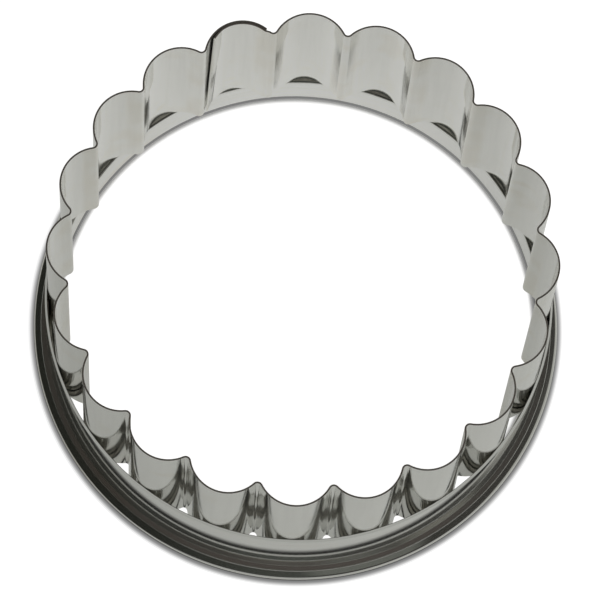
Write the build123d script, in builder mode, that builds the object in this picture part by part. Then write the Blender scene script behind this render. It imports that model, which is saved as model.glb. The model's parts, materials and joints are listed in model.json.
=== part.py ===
"""Scalloped linzer cookie cutter: a fluted cutting wall seated in a rolled grip ring."""

import os
from math import atan2, cos, degrees, radians, sin, sqrt

from build123d import *

# Fluted cutting wall
flute_count = 20
crest_diameter = 70.0  # over the outside of the scallops
flute_depth = 2.65  # from crest to cusp, on the outside
cusp_bend_radius = 0.5  # outside bend between two scallops
wall_sheet = 0.25
wall_height = 28.0
first_crest_angle = 90.0  # the crest on the back of the cutter

# Lap seam of the wall, angles about the centre of the seam scallop
seam_flute = 1  # counted counterclockwise from the first crest
lap_gap = 0.06  # between the two layers
lap_joggle_angle = 7.0  # the outer layer stops here, the inner one steps out to the cusp
lap_head_setback = 22.0  # the inner layer's end to the other cusp, at the cutting edge
lap_foot_setback = 4.0  # the same at the foot: the end is cut askew

# Rolled grip ring
ring_sheet = 0.3
collar_height = 16.2
brim_overhang = 1.8  # brim beyond the collar
brim_height = 1.8  # hollow rolled brim, over both layers
seat_height = 6.8  # ledge that carries the wall
ledge_show = 0.6  # ledge seen inside the crests
ledge_clearance = 0.1  # free edge of the ledge to the collar
foot_bevel = 0.25  # collar into brim
brim_bevel = 0.55  # round the outer edge of the brim
sleeve_bevel = 0.35  # underside into sleeve
ledge_bevel = 0.25  # sleeve into ledge

# Spot welds
weld_gap = 0.06  # crests to the inside of the collar
weld_bite = 0.12  # how deep a weld fuses into each sheet
weld_sides = 8
rim_weld_diameter = 1.8
rim_weld_rise = 4.8  # above the ledge
lap_weld_diameter = 1.8
lap_weld_count = 3
lap_weld_rise = 3.3  # lowest one above the collar
lap_weld_spacing = 5.5

# Wall curve: crest arcs and cusp arcs that meet in tangents
pitch = 360 / flute_count
crest_r = crest_diameter / 2
cusp_r = crest_r - flute_depth
cusp_center_r = cusp_r + cusp_bend_radius
cusp_x = cusp_center_r * cos(radians(pitch / 2))
cusp_y = cusp_center_r * sin(radians(pitch / 2))
crest_bend_radius = (crest_r**2 + cusp_center_r**2 - 2 * crest_r * cusp_x - cusp_bend_radius**2) / (
    2 * (crest_r + cusp_bend_radius - cusp_x)
)
crest_center_r = crest_r - crest_bend_radius
flank_angle = degrees(atan2(cusp_y, cusp_x - crest_center_r))
cusp_half_angle = flank_angle - pitch / 2

# Lap seam
seam_angle = first_crest_angle + seam_flute * pitch
joggle_angle = seam_angle - flank_angle + lap_joggle_angle
seam_cusp_angle = seam_angle - flank_angle
other_cusp_angle = seam_angle + flank_angle
outer_layer_inside = crest_bend_radius - wall_sheet
inner_layer_outside = outer_layer_inside - lap_gap
inner_layer_inside = inner_layer_outside - wall_sheet

# Grip ring
collar_inner_r = crest_r + weld_gap
collar_outer_r = collar_inner_r + ring_sheet
brim_r = collar_outer_r + brim_overhang
brim_bevel_inside = brim_bevel - (2 - sqrt(2)) * ring_sheet  # keeps the sheet even round the bevel
sleeve_r = crest_r - wall_sheet - ledge_show
ledge_end_r = collar_inner_r - ledge_clearance


def polar(radius, angle):
    """Point at a radius and an angle about the axis of the cutter."""
    return (radius * cos(radians(angle)), radius * sin(radians(angle)))


def about_seam(radius, angle):
    """Point at a radius and an angle about the centre of the seam scallop."""
    center_x, center_y = polar(crest_center_r, seam_angle)
    arm_x, arm_y = polar(radius, angle)
    return (center_x + arm_x, center_y + arm_y)


def fluted_loop(inset):
    """Closed loop of tangent arcs, set in from the outside of the wall."""
    for flute in range(flute_count):
        crest_angle = first_crest_angle + flute * pitch
        cusp_angle = crest_angle + pitch / 2
        CenterArc(
            polar(crest_center_r, crest_angle),
            crest_bend_radius - inset,
            crest_angle - flank_angle,
            2 * flank_angle,
        )
        CenterArc(
            polar(cusp_center_r, cusp_angle),
            cusp_bend_radius + inset,
            cusp_angle + 180 + cusp_half_angle,
            -2 * cusp_half_angle,
        )


def seam_band(inner_radius, outer_radius, start_angle, end_angle):
    """Closed loop round a curved band about the centre of the seam scallop."""
    seam_center = about_seam(0, 0)
    CenterArc(seam_center, inner_radius, start_angle, end_angle - start_angle)
    CenterArc(seam_center, outer_radius, start_angle, end_angle - start_angle)
    Line(about_seam(inner_radius, start_angle), about_seam(outer_radius, start_angle))
    Line(about_seam(inner_radius, end_angle), about_seam(outer_radius, end_angle))


def rolled_path(inset):
    """Open path along the formed strip of the ring, set in from its outside face."""
    return Polyline(
        (collar_outer_r - inset, collar_height),
        (collar_outer_r - inset, brim_height - inset),
        (brim_r - inset, brim_height - inset),
        (brim_r - inset, inset),
        (sleeve_r + inset, inset),
        (sleeve_r + inset, seat_height - inset),
        (ledge_end_r, seat_height - inset),
    )


def radial_plane(x, y, z):
    """Upright plane through a point, facing away from the axis of the cutter."""
    return Plane((x, y, z), z_dir=(x, y, 0))


# Rim welds: a fused spot between each crest and the collar
rim_weld_planes = [
    radial_plane(*polar(crest_r - weld_bite, first_crest_angle + flute * pitch), seat_height + rim_weld_rise)
    for flute in range(flute_count)
]
with BuildPart() as rim_welds:
    with BuildSketch(*rim_weld_planes):
        RegularPolygon(rim_weld_diameter / 2, weld_sides)
    extrude(amount=weld_gap + 2 * weld_bite)

# Lap welds: fused spots between the two layers of the seam
lap_weld_planes = [
    radial_plane(
        *about_seam(inner_layer_outside - weld_bite, seam_angle),
        collar_height + lap_weld_rise + spot * lap_weld_spacing,
    )
    for spot in range(lap_weld_count)
]
with BuildPart() as lap_welds:
    with BuildSketch(*lap_weld_planes):
        RegularPolygon(lap_weld_diameter / 2, weld_sides)
    extrude(amount=lap_gap + 2 * weld_bite)

# Inner layer of the seam, its end cut askew
lap_end_foot = Vector(*about_seam(inner_layer_inside, other_cusp_angle - lap_foot_setback), seat_height)
lap_end_head = Vector(
    *about_seam(inner_layer_inside, other_cusp_angle - lap_head_setback), seat_height + wall_height
)
lap_end_line = lap_end_head - lap_end_foot
lap_end_across = Vector(*polar(1, other_cusp_angle - (lap_foot_setback + lap_head_setback) / 2), 0)
with BuildPart() as inner_layer:
    with BuildSketch(Plane.XY.offset(seat_height)):
        with BuildLine():
            seam_band(inner_layer_inside, inner_layer_outside, joggle_angle, other_cusp_angle)
        make_face()
    extrude(amount=wall_height)
    split(bisect_by=Plane(lap_end_foot, lap_end_line, lap_end_line.cross(lap_end_across)), keep=Keep.BOTTOM)

# Wall: a closed fluted strip, opened at the seam, with its inner layer under the outer one
with BuildPart() as fluted_wall:
    with BuildSketch(Plane.XY.offset(seat_height)):
        with BuildLine():
            fluted_loop(0)
        make_face()
        with BuildLine():
            fluted_loop(wall_sheet)
        make_face(mode=Mode.SUBTRACT)
        with BuildLine():
            seam_band(inner_layer_outside, crest_bend_radius + lap_gap, seam_cusp_angle, joggle_angle)
        make_face(mode=Mode.SUBTRACT)
        with BuildLine():
            Polyline(
                about_seam(inner_layer_inside, joggle_angle),
                about_seam(inner_layer_outside, joggle_angle),
                about_seam(crest_bend_radius, seam_cusp_angle),
                about_seam(outer_layer_inside, seam_cusp_angle),
                close=True,
            )
        make_face()
    extrude(amount=wall_height)
    add(inner_layer.part)
    add(rim_welds.part, mode=Mode.SUBTRACT)
    add(lap_welds.part, mode=Mode.SUBTRACT)

# Grip ring: one formed strip, from the top of the collar round the brim to the ledge
with BuildPart() as grip_ring:
    with BuildSketch(Plane.XZ) as ring_section:
        with BuildLine():
            outside = rolled_path(0)
            inside = rolled_path(ring_sheet)
            Line(outside @ 0, inside @ 0)
            Line(outside @ 1, inside @ 1)
        make_face()
        chamfer(ring_section.vertices().group_by(Axis.X)[-2], brim_bevel_inside)
        chamfer(ring_section.vertices().group_by(Axis.X)[-1], brim_bevel)
        sleeve_foot, sleeve_head = ring_section.vertices().group_by(Axis.X)[0].sort_by(Axis.Y)
        chamfer(sleeve_foot, sleeve_bevel)
        chamfer(sleeve_head, ledge_bevel)
        chamfer(ring_section.vertices().sort_by_distance((collar_outer_r, brim_height))[0], foot_bevel)
    revolve(axis=Axis.Z)
    add(rim_welds.part, mode=Mode.SUBTRACT)

fluted_wall.part.label = "fluted_wall"
grip_ring.part.label = "grip_ring"
rim_welds.part.label = "rim_welds"
lap_welds.part.label = "lap_welds"

os.makedirs("parts", exist_ok=True)
export_step(fluted_wall.part, "parts/fluted_wall.step")
export_step(grip_ring.part, "parts/grip_ring.step")
export_step(rim_welds.part, "parts/rim_welds.step")
export_step(lap_welds.part, "parts/lap_welds.step")
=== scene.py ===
"""Linzer cookie cutter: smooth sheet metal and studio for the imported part.

The fluted wall and the grip ring are formed here from a line of points, the way a strip is bent on a
bench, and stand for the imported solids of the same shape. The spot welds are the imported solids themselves.
"""

from __future__ import annotations

import json
import logging
import math
from dataclasses import dataclass
from enum import Enum
from typing import Any

import bpy
from mathutils import Matrix, Vector

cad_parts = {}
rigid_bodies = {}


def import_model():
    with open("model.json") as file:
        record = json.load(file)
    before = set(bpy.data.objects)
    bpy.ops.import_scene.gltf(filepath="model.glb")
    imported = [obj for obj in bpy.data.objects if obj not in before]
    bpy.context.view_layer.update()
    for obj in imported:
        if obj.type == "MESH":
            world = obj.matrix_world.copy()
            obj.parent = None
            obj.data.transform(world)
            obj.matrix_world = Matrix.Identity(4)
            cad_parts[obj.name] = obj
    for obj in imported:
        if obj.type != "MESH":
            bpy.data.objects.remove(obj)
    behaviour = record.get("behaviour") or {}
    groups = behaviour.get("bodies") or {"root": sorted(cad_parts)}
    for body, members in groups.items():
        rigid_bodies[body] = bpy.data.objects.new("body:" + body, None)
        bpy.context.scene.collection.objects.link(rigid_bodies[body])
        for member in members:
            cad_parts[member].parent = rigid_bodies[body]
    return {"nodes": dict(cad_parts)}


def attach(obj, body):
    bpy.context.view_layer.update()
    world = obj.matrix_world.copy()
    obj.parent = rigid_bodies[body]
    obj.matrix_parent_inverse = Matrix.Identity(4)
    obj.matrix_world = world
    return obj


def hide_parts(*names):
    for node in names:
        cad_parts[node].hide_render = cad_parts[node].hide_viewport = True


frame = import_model()

MM = 0.001
LOG = logging.getLogger("linzer_cutter")

Colour = tuple[float, float, float]
Point = tuple[float, float, float]
Band = tuple[float, float, float, float]
Socket = bpy.types.NodeSocket

BLACK: Colour = (0, 0, 0)
WHITE: Colour = (1, 1, 1)


class Slot(Enum):
    """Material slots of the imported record."""

    WALL = "wall_steel"
    RING = "ring_steel"
    WELD = "weld_steel"


class GrainRun(Enum):
    """Which way the rolling lines of a sheet run. The values are their repeats per metre on three axes."""

    UPRIGHT = (1500.0, 1500.0, 60.0)  # along X, Y and Z
    ROUND = (9000.0, 4000.0, 400.0)  # away from the axis, up, and round the axis


def direction(azimuth: float, elevation: float) -> Vector:
    """Gives the way from the cutter to a place in the studio.

    Args:
        azimuth: Angle from the front to the right, in degrees.
        elevation: Angle above the floor, in degrees.

    Returns:
        The way, with a length of 1.
    """
    around, above = math.radians(azimuth), math.radians(elevation)
    flat = math.cos(above)
    return Vector((math.sin(around) * flat, -math.cos(around) * flat, math.sin(above)))


class SheetBench:
    """Bending bench: forms one piece of sheet in edit mode, edge by edge. In mm and degrees."""

    joint_reach: float = 0.02  # ends of drawn sheet this close are joined
    sliver: float = 0.001  # points this close are one point
    edge_segments: int = 2
    edge_angle: float = 60.0  # a cut edge turns by more than this
    smooth_angle: float = 16.0  # facets that turn by less than this shade as one face

    def __init__(self, name: str) -> None:
        """Starts an empty piece at the origin.

        Args:
            name: Name of the finished piece.
        """
        bpy.ops.object.select_all(action="DESELECT")
        bpy.ops.mesh.primitive_plane_add(size=MM)
        self.piece: bpy.types.Object = bpy.context.object
        self.piece.name = name
        bpy.ops.object.mode_set(mode="EDIT")
        bpy.ops.mesh.select_all(action="SELECT")
        bpy.ops.mesh.delete(type="VERT")

    def start(self, point: Point) -> None:
        """Sets a new single point, which the next steps draw out.

        Args:
            point: Place of the point.
        """
        bpy.ops.mesh.select_all(action="DESELECT")
        bpy.ops.mesh.primitive_plane_add(size=MM, location=Vector(point) * MM)
        bpy.ops.mesh.merge(type="CENTER")

    def draw(self, move: Point) -> None:
        """Draws the selected edge straight on, by the way from the old edge to the new one."""
        bpy.ops.mesh.extrude_region_move(TRANSFORM_OT_translate={"value": Vector(move) * MM})

    def bend(self, center: Point, turn: float, steps: int, axis: Point = (0, 0, 1)) -> None:
        """Draws the selected edge on round a bend.

        Args:
            center: Point on the axis of the bend.
            turn: Right-handed angle about the axis.
            steps: Number of facets in the bend.
            axis: Direction of the axis.
        """
        bpy.ops.mesh.spin(steps=steps, angle=-math.radians(turn), center=Vector(center) * MM, axis=axis)

    def repeat(self, copies: int, turn: float) -> None:
        """Copies the whole piece round the axis of the cutter.

        Args:
            copies: Number of copies beside the first one.
            turn: Right-handed angle from one copy to the next.
        """
        bpy.ops.mesh.select_all(action="SELECT")
        whole_turn = -math.radians(copies * turn)
        bpy.ops.mesh.spin(steps=copies, dupli=True, angle=whole_turn, center=(0, 0, 0), axis=(0, 0, 1))

    def turn_full(self, steps: int) -> None:
        """Turns the whole section once round the axis of the cutter, in a number of facets."""
        bpy.ops.mesh.select_all(action="SELECT")
        bpy.ops.mesh.spin(steps=steps, angle=2 * math.pi, center=(0, 0, 0), axis=(0, 0, 1))

    def trim(self, point: Vector, normal: Vector) -> None:
        """Cuts off all of the selected run of sheet that lies beyond a plane.

        Args:
            point: Point on the plane.
            normal: Direction in which the sheet is cut off.
        """
        bpy.ops.mesh.select_linked()
        bpy.ops.mesh.bisect(
            plane_co=point * MM, plane_no=normal.normalized(), clear_outer=True, threshold=self.sliver * MM
        )

    def spring(self, move: Vector, reach: float) -> None:
        """Lets the selected edge stand off, with the sheet near it bent along.

        Args:
            move: Way that the edge springs.
            reach: How far from the edge the sheet is bent.
        """
        bpy.ops.transform.translate(
            value=move * MM,
            use_proportional_edit=True,
            use_proportional_connected=True,
            proportional_edit_falloff="SMOOTH",
            proportional_size=reach * MM,
        )

    def modify(self, name: str, kind: str, **settings: Any) -> None:
        """Adds a modifier to the piece and applies it.

        Args:
            name: Name of the modifier.
            kind: Its type.
            **settings: Its properties.
        """
        modifier = self.piece.modifiers.new(name, kind)
        for key, value in settings.items():
            setattr(modifier, key, value)
        bpy.ops.object.modifier_apply(modifier=modifier.name)

    def thicken(self, sheet: float) -> None:
        """Closes the joints and gives the sheet its thickness.

        Args:
            sheet: Thickness of the sheet, half to each side of the drawn faces.
        """
        bpy.ops.mesh.select_all(action="SELECT")
        bpy.ops.mesh.remove_doubles(threshold=self.joint_reach * MM)
        bpy.ops.mesh.normals_make_consistent(inside=False)
        bpy.ops.object.mode_set(mode="OBJECT")
        self.modify("sheet thickness", "SOLIDIFY", thickness=sheet * MM, offset=0, use_even_offset=True)

    def finish(self, edge: float) -> bpy.types.Object:
        """Breaks the cut edges, closes slivers and smooths the shading.

        Args:
            edge: Width of the broken edge.

        Returns:
            The finished piece.
        """
        self.modify(
            "broken edge",
            "BEVEL",
            width=edge * MM,
            segments=self.edge_segments,
            limit_method="ANGLE",
            angle_limit=math.radians(self.edge_angle),
        )
        self.modify("closed slivers", "WELD", merge_threshold=self.sliver * MM)
        bpy.ops.object.shade_smooth_by_angle(angle=math.radians(self.smooth_angle))
        self.modify("even shading", "WEIGHTED_NORMAL", keep_sharp=True)
        return self.piece


class NodeSheet:
    """Node tree of a material, a world or a group, with short calls to add and join nodes."""

    measures: tuple[str, ...] = ("LENGTH", "DISTANCE", "DOT_PRODUCT")  # vector operations that give a number

    def __init__(self, tree: bpy.types.NodeTree) -> None:
        """Takes over a tree and empties it.

        Args:
            tree: Tree to fill.
        """
        self.tree = tree
        self.tree.nodes.clear()

    def add(self, kind: str, settings: dict[str, Any] | None = None, **inputs: Any) -> bpy.types.Node:
        """Adds a node.

        Args:
            kind: Node type without its ShaderNode prefix, or a full type name.
            settings: Properties of the node.
            **inputs: Values or output sockets for its inputs, by name with _ for a space, or by i and
                a number.

        Returns:
            The new node.
        """
        node = self.tree.nodes.new(kind if kind.startswith("Node") else "ShaderNode" + kind)
        for name, value in (settings or {}).items():
            setattr(node, name, value)
        for name, value in inputs.items():
            socket = node.inputs[int(name[1:]) if name[1:].isdigit() else name.replace("_", " ")]
            if isinstance(value, Socket):
                self.tree.links.new(value, socket)
            else:
                socket.default_value = value
        return node

    def group(self, tree: bpy.types.NodeTree, **inputs: Any) -> Any:
        """Adds a shader group.

        Args:
            tree: Tree of the group.
            **inputs: Values or output sockets for its inputs.

        Returns:
            Its outputs.
        """
        return self.add("Group", {"node_tree": tree}, **inputs).outputs

    def math(self, operation: str, *values: Any) -> Socket:
        """Adds a Math node.

        Args:
            operation: Its operation.
            *values: Numbers or output sockets.

        Returns:
            Its output.
        """
        inputs = {f"i{index}": value for index, value in enumerate(values)}
        return self.add("Math", {"operation": operation}, **inputs).outputs[0]

    def vector(self, operation: str, *values: Any) -> Socket:
        """Adds a Vector Math node.

        Args:
            operation: Its operation.
            *values: Vectors or output sockets.

        Returns:
            Its output: a number if the operation measures, or else a vector.
        """
        inputs = {f"i{index}": value for index, value in enumerate(values)}
        outputs = self.add("VectorMath", {"operation": operation}, **inputs).outputs
        return outputs["Value" if operation in self.measures else "Vector"]

    def spread(self, value: Socket, low: float, high: float, to_low: float, to_high: float) -> Socket:
        """Maps a value from one range to another, held at the ends.

        Args:
            value: Socket to map.
            low: Start of the range it has.
            high: End of the range it has.
            to_low: Start of the range it gets.
            to_high: End of the range it gets.

        Returns:
            The mapped output.
        """
        settings = {"interpolation_type": "SMOOTHSTEP"}
        return self.add("MapRange", settings, i0=value, i1=low, i2=high, i3=to_low, i4=to_high).outputs[0]

    def mix(self, share: Socket, first: Colour | Socket, second: Colour | Socket) -> Socket:
        """Mixes two colours.

        Args:
            share: Share of the second colour.
            first: Colour or socket.
            second: Colour or socket.

        Returns:
            The mixed colour.
        """
        first, second = ((*part, 1) if isinstance(part, tuple) else part for part in (first, second))
        return self.add("Mix", {"data_type": "RGBA"}, i0=share, i6=first, i7=second).outputs[2]


class SteelEffects:
    """Shader groups that all finishes of the cutter share."""

    def __init__(self) -> None:
        """Builds the groups once."""
        self.grain = self._grain()
        self.weld_marks = self._weld_marks()
        self.round_lines = self._round_lines()
        self.wear = self._wear()

    @staticmethod
    def _group(name: str, inputs: dict[str, str], outputs: tuple[str, ...]) -> tuple[NodeSheet, Any, Any]:
        """Starts a shader group.

        Args:
            name: Name of the group.
            inputs: Socket type of each input.
            outputs: Names of its outputs, all values but Position.

        Returns:
            The group's sheet, the sockets of its inputs and its output node.
        """
        tree = bpy.data.node_groups.new(name, "ShaderNodeTree")
        for label, kind in inputs.items():
            tree.interface.new_socket(label, in_out="INPUT", socket_type="NodeSocket" + kind)
        for label in outputs:
            kind = "Vector" if label == "Position" else "Float"
            tree.interface.new_socket(label, in_out="OUTPUT", socket_type="NodeSocket" + kind)
        sheet = NodeSheet(tree)
        return sheet, sheet.add("NodeGroupInput").outputs, sheet.add("NodeGroupOutput")

    def _grain(self) -> bpy.types.NodeTree:
        """Builds the rolled look of the sheet: fine drawn-out lines, and soft blotches from handling.

        Returns:
            The group, with Lines, Blotch and Stain as outputs from 0 to 1.
        """
        sheet, given, out = self._group(
            "rolled sheet", {"Position": "Vector", "Stretch": "Vector"}, ("Lines", "Blotch", "Stain")
        )
        place = given["Position"]
        drawn = sheet.vector("MULTIPLY", place, given["Stretch"])
        lines = sheet.add("TexNoise", Vector=drawn, Scale=1.0, Detail=5.0, Roughness=0.6)
        blotch = sheet.add("TexNoise", Vector=place, Scale=95.0, Detail=4.0, Roughness=0.55)
        stain = sheet.add("TexNoise", Vector=place, Scale=160.0, Detail=3.0, Distortion=0.6)
        for label, noise, low, high in (
            ("Lines", lines, 0.33, 0.67),
            ("Blotch", blotch, 0.35, 0.65),
            ("Stain", stain, 0.52, 0.74),
        ):
            sheet.tree.links.new(sheet.spread(noise.outputs[0], low, high, 0.0, 1.0), out.inputs[label])
        return sheet.tree

    def _weld_marks(self) -> bpy.types.NodeTree:
        """Builds the row of round marks that the spot welds leave on the sheet.

        Returns:
            The group, with Mark and Dent as outputs.
        """
        sheet, given, out = self._group(
            "spot weld marks",
            {"Position": "Vector", "Radius": "Float", "Height": "Float", "Size": "Float", "Pitch": "Float"},
            ("Mark", "Dent"),
        )
        core, rim = 0.55, 1.25  # where a mark starts to fade and where it ends, in its radii
        place = sheet.add("SeparateXYZ", Vector=given["Position"]).outputs
        from_back = sheet.math("SUBTRACT", sheet.math("ARCTAN2", place["Y"], place["X"]), math.pi / 2)
        turned = sheet.math("DIVIDE", from_back, given["Pitch"])
        past_mark = sheet.math("SUBTRACT", turned, sheet.math("ROUND", turned))
        across = sheet.math("MULTIPLY", sheet.math("MULTIPLY", past_mark, given["Pitch"]), given["Radius"])
        up = sheet.math("SUBTRACT", place["Z"], given["Height"])
        squares = (sheet.math("MULTIPLY", side, side) for side in (across, up))
        reach = sheet.math("SQRT", sheet.math("ADD", *squares))
        share = sheet.math("DIVIDE", reach, given["Size"])
        sheet.tree.links.new(sheet.spread(share, core, rim, 1.0, 0.0), out.inputs["Mark"])
        sheet.tree.links.new(sheet.spread(share, 0.0, 1.0, 0.0, 1.0), out.inputs["Dent"])
        return sheet.tree

    def _round_lines(self) -> bpy.types.NodeTree:
        """Builds coordinates that follow the ring: distance from the axis, height and a little of the angle.

        Returns:
            The group, with Position as output.
        """
        sheet, given, out = self._group("round the ring", {"Place": "Vector"}, ("Position",))
        angle_share = 0.004  # how far a turn to the side counts, in metres
        place = sheet.add("SeparateXYZ", Vector=given["Place"]).outputs
        flat = sheet.add("CombineXYZ", X=place["X"], Y=place["Y"]).outputs[0]
        sides = sheet.add("SeparateXYZ", Vector=sheet.vector("NORMALIZE", flat)).outputs
        turned = sheet.math("ADD", sides["X"], sheet.math("ABSOLUTE", sides["Y"]))
        along = sheet.math("MULTIPLY", turned, angle_share)
        both = sheet.add("CombineXYZ", X=sheet.vector("LENGTH", flat), Y=place["Z"], Z=along)
        sheet.tree.links.new(both.outputs[0], out.inputs["Position"])
        return sheet.tree

    def _wear(self) -> bpy.types.NodeTree:
        """Builds the wear at one distance from the axis: a fine line, and the inner faces nearer to it.

        Returns:
            The group, with Line and Inside as outputs from 0 to 1.
        """
        sheet, given, out = self._group(
            "wear round the axis",
            {"Place": "Vector", "Facing": "Vector", "Radius": "Float", "Width": "Float"},
            ("Line", "Inside"),
        )
        core = 0.3  # share of the width where the line is full
        turn_blur = 0.1  # how softly inner faces give way to outer ones
        flat = sheet.vector("MULTIPLY", given["Place"], (1, 1, 0))
        past = sheet.math("SUBTRACT", sheet.vector("LENGTH", flat), given["Radius"])
        off = sheet.math("DIVIDE", past, given["Width"])
        line = sheet.spread(sheet.math("ABSOLUTE", off), core, 1.0, 1.0, 0.0)
        sheet.tree.links.new(line, out.inputs["Line"])
        outward = sheet.vector("DOT_PRODUCT", sheet.vector("NORMALIZE", flat), given["Facing"])
        inner = sheet.spread(outward, -turn_blur, turn_blur, 1.0, 0.0)
        near = sheet.spread(off, -1.0, 1.0, 1.0, 0.0)
        sheet.tree.links.new(sheet.math("MULTIPLY", inner, near), out.inputs["Inside"])
        return sheet.tree


@dataclass(frozen=True)
class SteelFinish:
    """Bright rolled steel with its drawn-out lines, blotches, stains and weld marks.

    Attributes:
        name: Name of the material.
        slot: Material slot of the record; not used.
        bright: Colour of the clean sheet.
        dull: Colour of the sheet between its lines.
        stain: Colour of the warm stains.
        polish: Roughness of the clean sheet.
        rubbed: Roughness of the blotches.
        run: Way of the rolling lines.
        metal: Metallic share of the surface.
        stain_share: How strong the stains are.
        line_depth: How deep the rolling lines are, where a weld mark counts as 1.
        relief: How strongly lines and weld marks show.
        relief_depth: Depth of lines and weld marks, in millimetres.
        mark_radius: Radius of the row of weld marks, in millimetres, or 0 for none.
        mark_height: Height of the row of weld marks, in millimetres.
        mark_size: Radius of a weld mark, in millimetres.
        mark_pitch: Angle from one weld mark to the next, in degrees.
        mark_tint: How strongly the weld marks are stained.
        mark_dulling: Roughness that the weld marks add.
        bend_radius: Distance from the axis inside which bends have dulled the sheet, in millimetres, or
            0 for none.
        bend_width: Half the width over which the dull bends fade out, in millimetres.
        bend_dulling: Roughness that the bends add.
        bend_smudge: How strongly the blotches stain the bends.
        ridge_radius: Radius of a fine ridge round the axis, in millimetres, or 0 for none.
        ridge_width: Half the width of the ridge, in millimetres.
        ridge_dulling: Roughness that the ridge adds.
        ridge_relief: How strongly the ridge shows.
        ridge_depth: Height of the ridge, in millimetres.
    """

    name: str
    slot: Slot
    bright: Colour
    dull: Colour
    stain: Colour
    polish: float
    rubbed: float
    run: GrainRun
    metal: float = 0.9
    stain_share: float = 0.5
    line_depth: float = 0.25
    relief: float = 0.06
    relief_depth: float = 0.05
    mark_radius: float = 0.0
    mark_height: float = 11.6
    mark_size: float = 0.9
    mark_pitch: float = 18.0
    mark_tint: float = 0.2
    mark_dulling: float = 0.06
    bend_radius: float = 0.0
    bend_width: float = 0.35
    bend_dulling: float = 0.14
    bend_smudge: float = 0.5
    ridge_radius: float = 0.0
    ridge_width: float = 0.09
    ridge_dulling: float = 0.15
    ridge_relief: float = 0.36
    ridge_depth: float = 0.1

    def material(self, effects: SteelEffects) -> bpy.types.Material:
        """Builds the material.

        Args:
            effects: Shared shader groups.

        Returns:
            The material.
        """
        made = bpy.data.materials.new(self.name)
        made.use_nodes = True
        sheet = NodeSheet(made.node_tree)
        place = position = sheet.add("TexCoord").outputs["Object"]
        if self.run is GrainRun.ROUND:
            position = sheet.group(effects.round_lines, Place=place)["Position"]
        grain = sheet.group(effects.grain, Position=position, Stretch=self.run.value)
        colour = sheet.mix(grain["Lines"], self.dull, self.bright)
        colour = sheet.mix(sheet.math("MULTIPLY", grain["Stain"], self.stain_share), colour, self.stain)
        rough = sheet.spread(grain["Blotch"], 0.0, 1.0, self.polish, self.rubbed)
        height = sheet.math("MULTIPLY", grain["Lines"], self.line_depth)
        if self.mark_radius:
            marks = sheet.group(
                effects.weld_marks,
                Position=place,
                Radius=self.mark_radius * MM,
                Height=self.mark_height * MM,
                Size=self.mark_size * MM,
                Pitch=math.radians(self.mark_pitch),
            )
            colour = sheet.mix(sheet.math("MULTIPLY", marks["Mark"], self.mark_tint), colour, self.stain)
            rough = sheet.math("ADD", rough, sheet.math("MULTIPLY", marks["Mark"], self.mark_dulling))
            height = sheet.math("ADD", height, marks["Dent"])
        if self.bend_radius:
            bends = self.worn(sheet, effects, place, self.bend_radius, self.bend_width)["Inside"]
            rough = sheet.math("ADD", rough, sheet.math("MULTIPLY", bends, self.bend_dulling))
            smudge = sheet.math("MULTIPLY", bends, grain["Blotch"])
            colour = sheet.mix(sheet.math("MULTIPLY", smudge, self.bend_smudge), colour, self.stain)
        depth = self.relief_depth * MM
        bump = sheet.add("Bump", Strength=self.relief, Distance=depth, Height=height).outputs[0]
        if self.ridge_radius:
            ridge = self.worn(sheet, effects, place, self.ridge_radius, self.ridge_width)["Line"]
            rough = sheet.math("ADD", rough, sheet.math("MULTIPLY", ridge, self.ridge_dulling))
            depth = self.ridge_depth * MM
            raised = sheet.add("Bump", Strength=self.ridge_relief, Distance=depth, Height=ridge, Normal=bump)
            bump = raised.outputs[0]
        steel = sheet.add("BsdfPrincipled", Base_Color=colour, Roughness=rough, Normal=bump)
        steel.inputs["Metallic"].default_value = self.metal
        sheet.add("OutputMaterial", Surface=steel.outputs[0])
        return made

    @staticmethod
    def worn(sheet: NodeSheet, effects: SteelEffects, place: Socket, radius: float, width: float) -> Any:
        """Adds the wear at one distance from the axis.

        Args:
            sheet: Node tree of the material.
            effects: Shared shader groups.
            place: Place on the piece.
            radius: Distance from the axis, in millimetres.
            width: Half the width of the wear, in millimetres.

        Returns:
            The outputs Line and Inside.
        """
        facing = sheet.add("NewGeometry").outputs["Normal"]
        return sheet.group(effects.wear, Place=place, Facing=facing, Radius=radius * MM, Width=width * MM)

    def dress(self, piece: bpy.types.Object, effects: SteelEffects) -> None:
        """Gives a piece this finish alone.

        Args:
            piece: Piece to dress.
            effects: Shared shader groups.
        """
        piece.data.materials.clear()
        piece.data.materials.append(self.material(effects))


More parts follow.
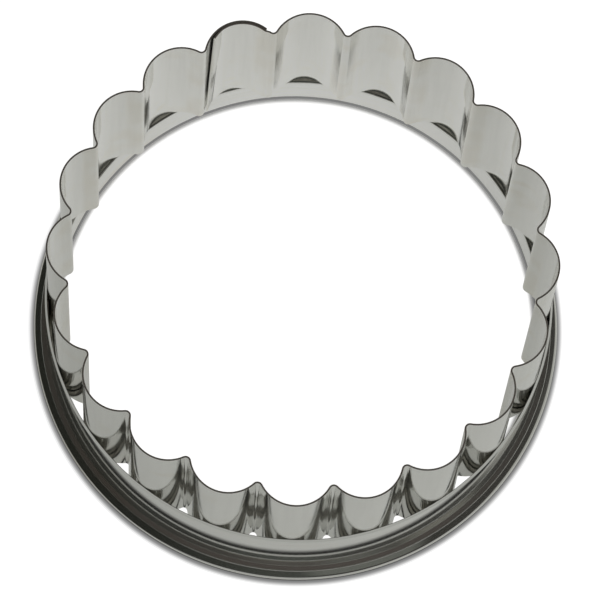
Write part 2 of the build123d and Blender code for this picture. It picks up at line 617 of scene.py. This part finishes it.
@dataclass
class FlutedWall:
    """Cutting wall: one strip bent into scallops, its ends lapped over one of them. In mm and degrees."""

    flutes: int = 20
    crest_radius: float = 35.0  # outside of the scallops
    flute_depth: float = 2.65
    cusp_bend: float = 0.5
    sheet: float = 0.25
    seat: float = 6.8
    height: float = 27.998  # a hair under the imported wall, because the sprung end of the seam rises
    first_crest: float = 90.0
    seam_flute: int = 1
    lap_gap: float = 0.06
    joggle: float = 7.0  # the outer layer stops this far from the cusp that the inner one steps out to
    head_setback: float = 22.0  # the inner layer's end to the other cusp, at the cutting edge
    foot_setback: float = 4.0  # the same at the foot
    stand_off: float = 0.16
    stand_off_reach: float = 2.2
    crest_steps: int = 26
    cusp_steps: int = 14
    rows: int = 8
    broken_edge: float = 0.05
    finish: SteelFinish = SteelFinish(
        name="bright fluted sheet",
        slot=Slot.WALL,
        bright=(0.84, 0.84, 0.815),
        dull=(0.80, 0.80, 0.775),
        stain=(0.755, 0.72, 0.635),
        polish=0.05,
        rubbed=0.10,
        run=GrainRun.UPRIGHT,
        mark_radius=34.75,
        stain_share=0.35,
        bend_radius=33.5,
    )

    def __post_init__(self) -> None:
        """Works out the tangent arcs of the wall's curve, along the middle of the sheet."""
        self.pitch = 360 / self.flutes
        half_pitch = math.radians(self.pitch / 2)
        self.cusp_center = self.crest_radius - self.flute_depth + self.cusp_bend
        beside = self.cusp_center * math.sin(half_pitch)
        ahead = self.cusp_center * math.cos(half_pitch)
        self.crest_bend = (
            self.crest_radius**2 + self.cusp_center**2 - 2 * self.crest_radius * ahead - self.cusp_bend**2
        ) / (2 * (self.crest_radius + self.cusp_bend - ahead))
        self.crest_center = self.crest_radius - self.crest_bend
        self.flank = math.degrees(math.atan2(beside, ahead - self.crest_center))
        self.cusp_turn = 2 * self.flank - self.pitch
        self.middle = self.crest_bend - self.sheet / 2
        self.under = self.middle - self.sheet - self.lap_gap
        self.seam = self.first_crest + self.seam_flute * self.pitch

    def at(self, radius: float, angle: float) -> Point:
        """Gives a point at the foot of the wall, about the axis of the cutter.

        Args:
            radius: Distance from the axis.
            angle: Angle about the axis.

        Returns:
            The point.
        """
        return (radius * math.cos(math.radians(angle)), radius * math.sin(math.radians(angle)), self.seat)

    def on_crest(self, crest: float, radius: float, angle: float) -> Point:
        """Gives a point at the foot of the wall, about the centre of a scallop.

        Args:
            crest: Angle of the scallop's crest about the axis.
            radius: Distance from the centre of the scallop.
            angle: Angle from the crest.

        Returns:
            The point.
        """
        center = Vector(self.at(self.crest_center, crest))
        return tuple(center + Vector(self.at(radius, crest + angle)) - Vector((0, 0, self.seat)))

    def upright_edge(self, bench: SheetBench, foot: Point) -> None:
        """Sets the first upright edge of a run of sheet.

        Args:
            bench: Bench that forms the wall.
            foot: Lower end of the edge.
        """
        bench.start(foot)
        for _ in range(self.rows):
            bench.draw((0, 0, self.height / self.rows))
        bpy.ops.mesh.select_linked()

    def bend_cusp(self, bench: SheetBench, angle: float) -> None:
        """Bends the sheet round the cusp at an angle about the axis."""
        bench.bend(self.at(self.cusp_center, angle), self.cusp_turn, self.cusp_steps)

    def build(self) -> bpy.types.Object:
        """Bends the strip: one scallop, its copies, then the lapped one.

        Returns:
            The finished wall.
        """
        bench = SheetBench("fluted_wall_sheet")
        crest = self.first_crest
        self.upright_edge(bench, self.on_crest(crest, self.middle, self.flank))
        bench.bend(self.at(self.crest_center, crest), -2 * self.flank, self.crest_steps)
        self.bend_cusp(bench, crest - self.pitch / 2)
        bench.repeat(self.flutes - 2, -self.pitch)

        seam_center = self.at(self.crest_center, self.seam)
        outer_end = self.joggle - self.flank
        for layer in (self.middle, self.under):
            self.upright_edge(bench, self.on_crest(self.seam, layer, self.flank))
            bench.bend(seam_center, outer_end - self.flank, self.crest_steps)
        step_from = Vector(self.on_crest(self.seam, self.under, outer_end))
        bench.draw(tuple(Vector(self.on_crest(self.seam, self.middle, -self.flank)) - step_from))
        self.bend_cusp(bench, self.seam - self.pitch / 2)
        self.trim_end(bench)
        bench.thicken(self.sheet)
        return bench.finish(self.broken_edge)

    def trim_end(self, bench: SheetBench) -> None:
        """Cuts the end of the seam's inner layer askew and lets it stand off a little.

        Args:
            bench: Bench that forms the wall, with the inner layer's last edge selected.
        """
        foot_angle, head_angle = self.flank - self.foot_setback, self.flank - self.head_setback
        foot = Vector(self.on_crest(self.seam, self.under, foot_angle))
        head = Vector(self.on_crest(self.seam, self.under, head_angle)) + Vector((0, 0, self.height))
        middle = Vector(self.on_crest(self.seam, self.under, (foot_angle + head_angle) / 2))
        across = middle - Vector(self.at(self.crest_center, self.seam))
        bench.trim(foot, (head - foot).cross(across))
        bench.spring(-across.normalized() * self.stand_off, self.stand_off_reach)

    def place(self, effects: SteelEffects) -> bpy.types.Object:
        """Builds and dresses the wall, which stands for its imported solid.

        Args:
            effects: Shared shader groups.

        Returns:
            The wall.
        """
        wall = self.build()
        self.finish.dress(wall, effects)
        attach(wall, "root")
        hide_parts("fluted_wall")
        return wall


@dataclass
class GripRing:
    """Grip ring: one strip rolled to collar, hollow brim, sleeve and ledge, closed to a ring. In mm."""

    sheet: float = 0.3
    collar_radius: float = 35.36
    collar_height: float = 16.2
    rim_thinning: float = 0.24  # taken off the collar's cut edge
    rim_lean: float = 0.05  # how far that edge leans in
    rim_slope: float = 0.5  # height over which it leans
    brim_radius: float = 37.155
    brim_height: float = 1.8
    brim_line: float = 36.05  # radius of the crease on top of the brim
    brim_tilt: float = 6.0  # fall from the collar to the crease, in degrees
    brim_fall: float = 25.0  # fall from the crease to the nose, in degrees
    sleeve_radius: float = 34.15
    seat: float = 6.8
    ledge_end: float = 34.96
    foot_bend: float = 0.17  # collar into brim
    sleeve_bend: float = 0.45  # underside into sleeve
    ledge_bend: float = 0.35  # sleeve into ledge
    bend_steps: int = 7
    turn_steps: int = 300
    broken_edge: float = 0.04
    finish: SteelFinish = SteelFinish(
        name="bright rolled ring sheet",
        slot=Slot.RING,
        bright=(0.84, 0.84, 0.825),
        dull=(0.775, 0.775, 0.755),
        stain=(0.71, 0.655, 0.57),
        polish=0.03,
        rubbed=0.06,
        run=GrainRun.ROUND,
        stain_share=0.4,
        line_depth=0.06,
        ridge_radius=36.05,
    )

    def build(self) -> bpy.types.Object:
        """Bends the section from the top of the collar to the ledge, then turns it round the axis.

        Returns:
            The finished ring.
        """
        half = self.sheet / 2
        collar = self.collar_radius - half
        upper = self.brim_height - half
        nose = self.brim_radius - half
        sleeve = self.sleeve_radius + half
        ledge = self.seat - half
        across = (0, 1, 0)
        foot, heel, lip = self.foot_bend, self.sleeve_bend, self.ledge_bend
        tilt, fall = math.radians(self.brim_tilt), math.radians(self.brim_fall)
        foot_center = (collar + foot, 0, upper + foot * math.cos(tilt))
        inner = self.brim_line - collar - foot * (1 - math.sin(tilt))
        line = upper - inner * math.tan(tilt)
        roll = (1 - math.sin(fall)) / (1 + math.cos(fall))
        outer = (nose - self.brim_line - roll * (line - half)) / (math.cos(fall) - roll * math.sin(fall))
        fold = (line - half - outer * math.sin(fall)) / (1 + math.cos(fall))

        bench = SheetBench("grip_ring_sheet")
        bench.start((collar - self.rim_lean, 0, self.collar_height))
        bench.draw((self.rim_lean, 0, -self.rim_slope))
        bench.draw((0, 0, foot_center[2] - self.collar_height + self.rim_slope))
        bench.bend(foot_center, self.brim_tilt - 90, self.bend_steps, across)
        bench.draw((inner, 0, line - upper))
        bench.draw((outer * math.cos(fall), 0, -outer * math.sin(fall)))
        bench.bend((nose - fold, 0, half + fold), 180 - self.brim_fall, 2 * self.bend_steps, across)
        bench.draw((sleeve + heel - nose + fold, 0, 0))
        bench.bend((sleeve + heel, 0, half + heel), 90, self.bend_steps, across)
        bench.draw((0, 0, ledge - lip - half - heel))
        bench.bend((sleeve + lip, 0, ledge - lip), 90, self.bend_steps, across)
        bench.draw((self.ledge_end - sleeve - lip, 0, 0))
        bench.turn_full(self.turn_steps)
        bench.thicken(self.sheet)
        self.thin_rim(bench)
        return bench.finish(self.broken_edge)

    def thin_rim(self, bench: SheetBench) -> None:
        """Thins the collar's cut edge from the outside, the way a rim is deburred.

        Args:
            bench: Bench with the thickened ring.
        """
        bpy.ops.object.mode_set(mode="EDIT")
        bpy.ops.mesh.select_mode(type="VERT")
        bpy.ops.mesh.select_all(action="DESELECT")
        bpy.ops.object.mode_set(mode="OBJECT")
        middle = (self.collar_radius - self.sheet / 2 - self.rim_lean) * MM
        for vertex in bench.piece.data.vertices:
            at_top = vertex.co.z > (self.collar_height - self.rim_slope / 2) * MM
            vertex.select = at_top and vertex.co.xy.length > middle
        bpy.ops.object.mode_set(mode="EDIT")
        shrink = 1 - self.rim_thinning / self.collar_radius
        bpy.ops.transform.resize(value=(shrink, shrink, 1), center_override=(0, 0, 0))
        bpy.ops.object.mode_set(mode="OBJECT")

    def place(self, effects: SteelEffects) -> bpy.types.Object:
        """Builds and dresses the ring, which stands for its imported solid.

        Args:
            effects: Shared shader groups.

        Returns:
            The ring.
        """
        ring = self.build()
        self.finish.dress(ring, effects)
        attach(ring, "root")
        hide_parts("grip_ring")
        return ring


@dataclass
class SpotWelds:
    """Spot welds between the sheets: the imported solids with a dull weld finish."""

    nodes: tuple[str, ...] = ("rim_welds", "lap_welds")
    finish: SteelFinish = SteelFinish(
        name="dull weld steel",
        slot=Slot.WELD,
        bright=(0.36, 0.35, 0.34),
        dull=(0.27, 0.26, 0.25),
        stain=(0.22, 0.17, 0.12),
        polish=0.32,
        rubbed=0.5,
        run=GrainRun.UPRIGHT,
        stain_share=0.8,
    )

    def place(self, effects: SteelEffects) -> list[bpy.types.Object]:
        """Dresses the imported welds.

        Args:
            effects: Shared shader groups.

        Returns:
            The welds' nodes.
        """
        welds = [frame["nodes"][name] for name in self.nodes]
        for weld in welds:
            self.finish.dress(weld, effects)
        return welds


@dataclass(frozen=True)
class Softbox:
    """Square studio light aimed at the cutter. Lengths are in metres, angles in degrees."""

    name: str
    azimuth: float
    elevation: float
    distance: float
    width: float
    watts: float

    def place(self) -> None:
        """Hangs the light and keeps its shape out of the picture and out of the steel."""
        lamp = bpy.data.lights.new(self.name, "AREA")
        lamp.shape = "SQUARE"
        lamp.size = self.width
        lamp.energy = self.watts
        holder = bpy.data.objects.new(self.name, lamp)
        bpy.context.scene.collection.objects.link(holder)
        toward = direction(self.azimuth, self.elevation)
        holder.location = toward * self.distance
        holder.rotation_mode = "QUATERNION"
        holder.rotation_quaternion = (-toward).to_track_quat("-Z", "Y")
        holder.visible_camera = False
        holder.visible_glossy = False


@dataclass(frozen=True)
class Panel:
    """Pale round panel far off in the room, seen in the steel only. Angles are in degrees."""

    azimuth: float
    elevation: float
    reach: float
    colour: Colour
    core: float = 0.6  # share of the reach inside which the colour is full

    def show(self, sheet: NodeSheet, way: Socket, room: Socket) -> Socket:
        """Lays the panel over the colour of the room.

        Args:
            sheet: Node tree of the room.
            way: Direction that is looked in.
            room: Colour of the room behind the panel.

        Returns:
            The colour with the panel.
        """
        nearness = sheet.vector("DOT_PRODUCT", way, direction(self.azimuth, self.elevation))
        edge, full = (math.cos(math.radians(angle)) for angle in (self.reach, self.core * self.reach))
        return sheet.mix(sheet.spread(nearness, edge, full, 0.0, 1.0), room, self.colour)


@dataclass
class Studio:
    """Floor, lights and camera of the picture. Lengths are in metres, angles in degrees.

    The fades of the room run over the X or Z part of the direction that is looked in.
    """

    floor_size: float = 6.0
    floor_colour: Colour = (0.90, 0.90, 0.90)
    floor_mottle: float = 0.985  # what the darker clouds on the floor keep of its colour
    floor_glow: float = 1.0
    pool_center: Point = (0.0, 0.07, 0.0)
    pool_reach: float = 0.10
    pool_bright: Colour = (0.64, 0.642, 0.63)  # painted pool of light: glow of the floor in the steel, at the centre of the pool
    pool_dim: Colour = (0.312, 0.317, 0.30)  # the same outside the pool
    painted_foot_shadow: Band = (0.0339, 0.0341, 0.0376, 0.0382)  # radii of the painted shadow strip under the brim
    soft_painted_foot_shadow: Band = (0.0330, 0.0341, 0.0369, 0.0383)  # the same painted shadow, softer, for the glow in the picture
    painted_shadow_keep: float = 0.2  # share of that glow that the painted shadow strip keeps
    room_low: Colour = (0.0465, 0.0516, 0.044)
    room_high: Colour = (0.071, 0.061, 0.054)
    room_rise: tuple[float, float] = (0.75, 0.95)
    room_left: Colour = (0.014, 0.015, 0.012)
    left_end: tuple[float, float] = (-0.5, 0.1)
    room_right: Colour = (0.027, 0.026, 0.022)
    right_start: tuple[float, float] = (0.08, 0.35)
    sweep: Colour = (0.44, 0.44, 0.42)
    sweep_rise: tuple[float, float] = (0.22, 0.34)
    sweep_end: tuple[float, float] = (-0.7, -0.2)
    backdrop: Colour = (0.95, 0.95, 0.95)
    softboxes: tuple[Softbox, ...] = (Softbox("right softbox", 80, 38, 0.9, 0.6, 0.9),)
    panels: tuple[Panel, ...] = (
        Panel(-4, 74, 10, (0.19, 0.185, 0.16)),
        Panel(60, 74, 11, (0.21, 0.205, 0.175)),
        Panel(-62, 75, 9, (0.24, 0.235, 0.205)),
        Panel(28, 54, 14, (0.125, 0.13, 0.115)),
        Panel(85, 6, 34, (0.42, 0.42, 0.385)),
    )
    azimuth: float = -4.175
    elevation: float = 73.85
    roll: float = 6.23
    distance: float = 0.7706
    aim: Point = (0.00048, 0.0039, 0.0)
    lens: float = 325.18
    sensor: float = 36.0
    clip: tuple[float, float] = (0.01, 20.0)
    mirror_bounces: int = 24  # light is thrown to and fro between wall and collar

    def place(self) -> None:
        """Sets up the whole studio."""
        self.lay_floor()
        self.light()
        self.set_camera()
        bpy.context.scene.view_settings.view_transform = "Standard"
        light_paths = bpy.context.scene.cycles
        light_paths.max_bounces = light_paths.glossy_bounces = self.mirror_bounces

    def lay_floor(self) -> None:
        """Lays the pale floor that the cutter stands on, with a painted pool of light and a painted shadow
        under the brim.
        """
        bpy.ops.object.select_all(action="DESELECT")
        bpy.ops.mesh.primitive_plane_add(size=self.floor_size)
        floor = bpy.context.object
        floor.name = "studio_floor"
        paint = bpy.data.materials.new("pale floor")
        paint.use_nodes = True
        sheet = NodeSheet(paint.node_tree)
        place = sheet.add("TexCoord").outputs["Object"]
        cloud = sheet.add("TexNoise", Vector=place, Scale=3.0, Detail=2.0).outputs[0]
        soft = tuple(self.floor_mottle * part for part in self.floor_colour)
        colour = sheet.mix(cloud, soft, self.floor_colour)
        # painted pool of light: the floor glows brighter near the cutter, for every ray except camera rays
        off = sheet.vector("DISTANCE", place, self.pool_center)
        fall = sheet.spread(off, 0.0, self.pool_reach, 0.0, 1.0)
        pool = sheet.mix(fall, self.pool_bright, self.pool_dim)
        seen = sheet.add("LightPath").outputs["Is Camera Ray"]
        # painted shadow under the brim: black floor colour and no glow in the strip, and a softer dark ring
        # in the camera's glow
        lit_past_painted_shadow = self.painted_shadow_light_share(sheet, place, self.painted_foot_shadow)
        lit_past_soft_painted_shadow = self.painted_shadow_light_share(sheet, place, self.soft_painted_foot_shadow)
        glow = sheet.mix(lit_past_painted_shadow, BLACK, pool)
        colour = sheet.mix(lit_past_painted_shadow, BLACK, colour)
        picture = sheet.spread(lit_past_soft_painted_shadow, 0.0, 1.0, self.painted_shadow_keep, 1.0)
        glow = sheet.mix(seen, glow, sheet.mix(picture, BLACK, WHITE))
        matt = sheet.add("BsdfPrincipled", Base_Color=colour, Roughness=0.9, Emission_Color=glow)
        matt.inputs["Emission Strength"].default_value = self.floor_glow
        sheet.add("OutputMaterial", Surface=matt.outputs[0])
        floor.data.materials.append(paint)

    @staticmethod
    def painted_shadow_light_share(sheet: NodeSheet, place: Socket, edge: Band) -> Socket:
        """Paints a shadow beside the brim: works out, from the radius alone, the share of the floor's glow
        and colour that is kept.

        Args:
            sheet: Node tree of the floor.
            place: Place on the floor.
            edge: Radii where the painted shadow starts inside the ring and where it ends outside.

        Returns:
            The share of the floor's glow and colour that the painted shadow leaves, from 0 to 1.
        """
        radius = sheet.vector("LENGTH", place)
        inside = sheet.spread(radius, *edge[:2], 1.0, 0.0)
        return sheet.math("MAXIMUM", inside, sheet.spread(radius, *edge[2:], 0.0, 1.0))

    def light(self) -> None:
        """Hangs the softboxes in a dim room with pale panels and a pale backdrop."""
        room = bpy.data.worlds.new("studio room")
        room.use_nodes = True
        bpy.context.scene.world = room
        sheet = NodeSheet(room.node_tree)
        seen = sheet.add("LightPath").outputs["Is Camera Ray"]
        way = sheet.add("TexCoord").outputs["Generated"]
        parts = sheet.add("SeparateXYZ", Vector=way).outputs
        rise = sheet.spread(parts["Z"], *self.room_rise, 0.0, 1.0)
        colour = sheet.mix(rise, self.room_low, self.room_high)
        colour = sheet.mix(sheet.spread(parts["X"], *self.left_end, 1.0, 0.0), colour, self.room_left)
        colour = sheet.mix(sheet.spread(parts["X"], *self.right_start, 0.0, 1.0), colour, self.room_right)
        low = sheet.spread(parts["Z"], *self.sweep_rise, 1.0, 0.0)
        low = sheet.math("MULTIPLY", low, sheet.spread(parts["X"], *self.sweep_end, 0.0, 1.0))
        colour = sheet.mix(low, colour, self.sweep)
        for panel in self.panels:
            colour = panel.show(sheet, way, colour)
        back = sheet.add("Background", Color=sheet.mix(seen, colour, self.backdrop), Strength=1.0)
        sheet.add("OutputWorld", Surface=back.outputs[0])
        for softbox in self.softboxes:
            softbox.place()

    def set_camera(self) -> None:
        """Sets the camera at the angle of the photograph."""
        around, lean = math.radians(self.azimuth), math.radians(self.roll)
        back = direction(self.azimuth, self.elevation)
        level = Vector((math.cos(around), math.sin(around), 0))
        upper = back.cross(level)
        right = level * math.cos(lean) + upper * math.sin(lean)
        up = upper * math.cos(lean) - level * math.sin(lean)
        lens = bpy.data.cameras.new("studio camera")
        lens.sensor_fit = "HORIZONTAL"
        lens.sensor_width = self.sensor
        lens.lens = self.lens
        lens.clip_start, lens.clip_end = self.clip
        camera = bpy.data.objects.new("studio camera", lens)
        bpy.context.scene.collection.objects.link(camera)
        turn = Matrix((right, up, back)).transposed().to_4x4()
        camera.matrix_world = Matrix.Translation(Vector(self.aim) + back * self.distance) @ turn
        bpy.context.scene.camera = camera


def main() -> None:
    """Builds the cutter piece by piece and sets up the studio."""
    logging.basicConfig(level=logging.INFO, format="%(name)s: %(message)s")
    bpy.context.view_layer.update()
    effects = SteelEffects()
    wall = FlutedWall().place(effects)
    LOG.info("%s: %d faces", wall.name, len(wall.data.polygons))
    ring = GripRing().place(effects)
    LOG.info("%s: %d faces", ring.name, len(ring.data.polygons))
    for weld in SpotWelds().place(effects):
        LOG.info("%s: packed solid, %d faces", weld.name, len(weld.data.polygons))
    Studio().place()


if __name__ == "__main__":
    main()
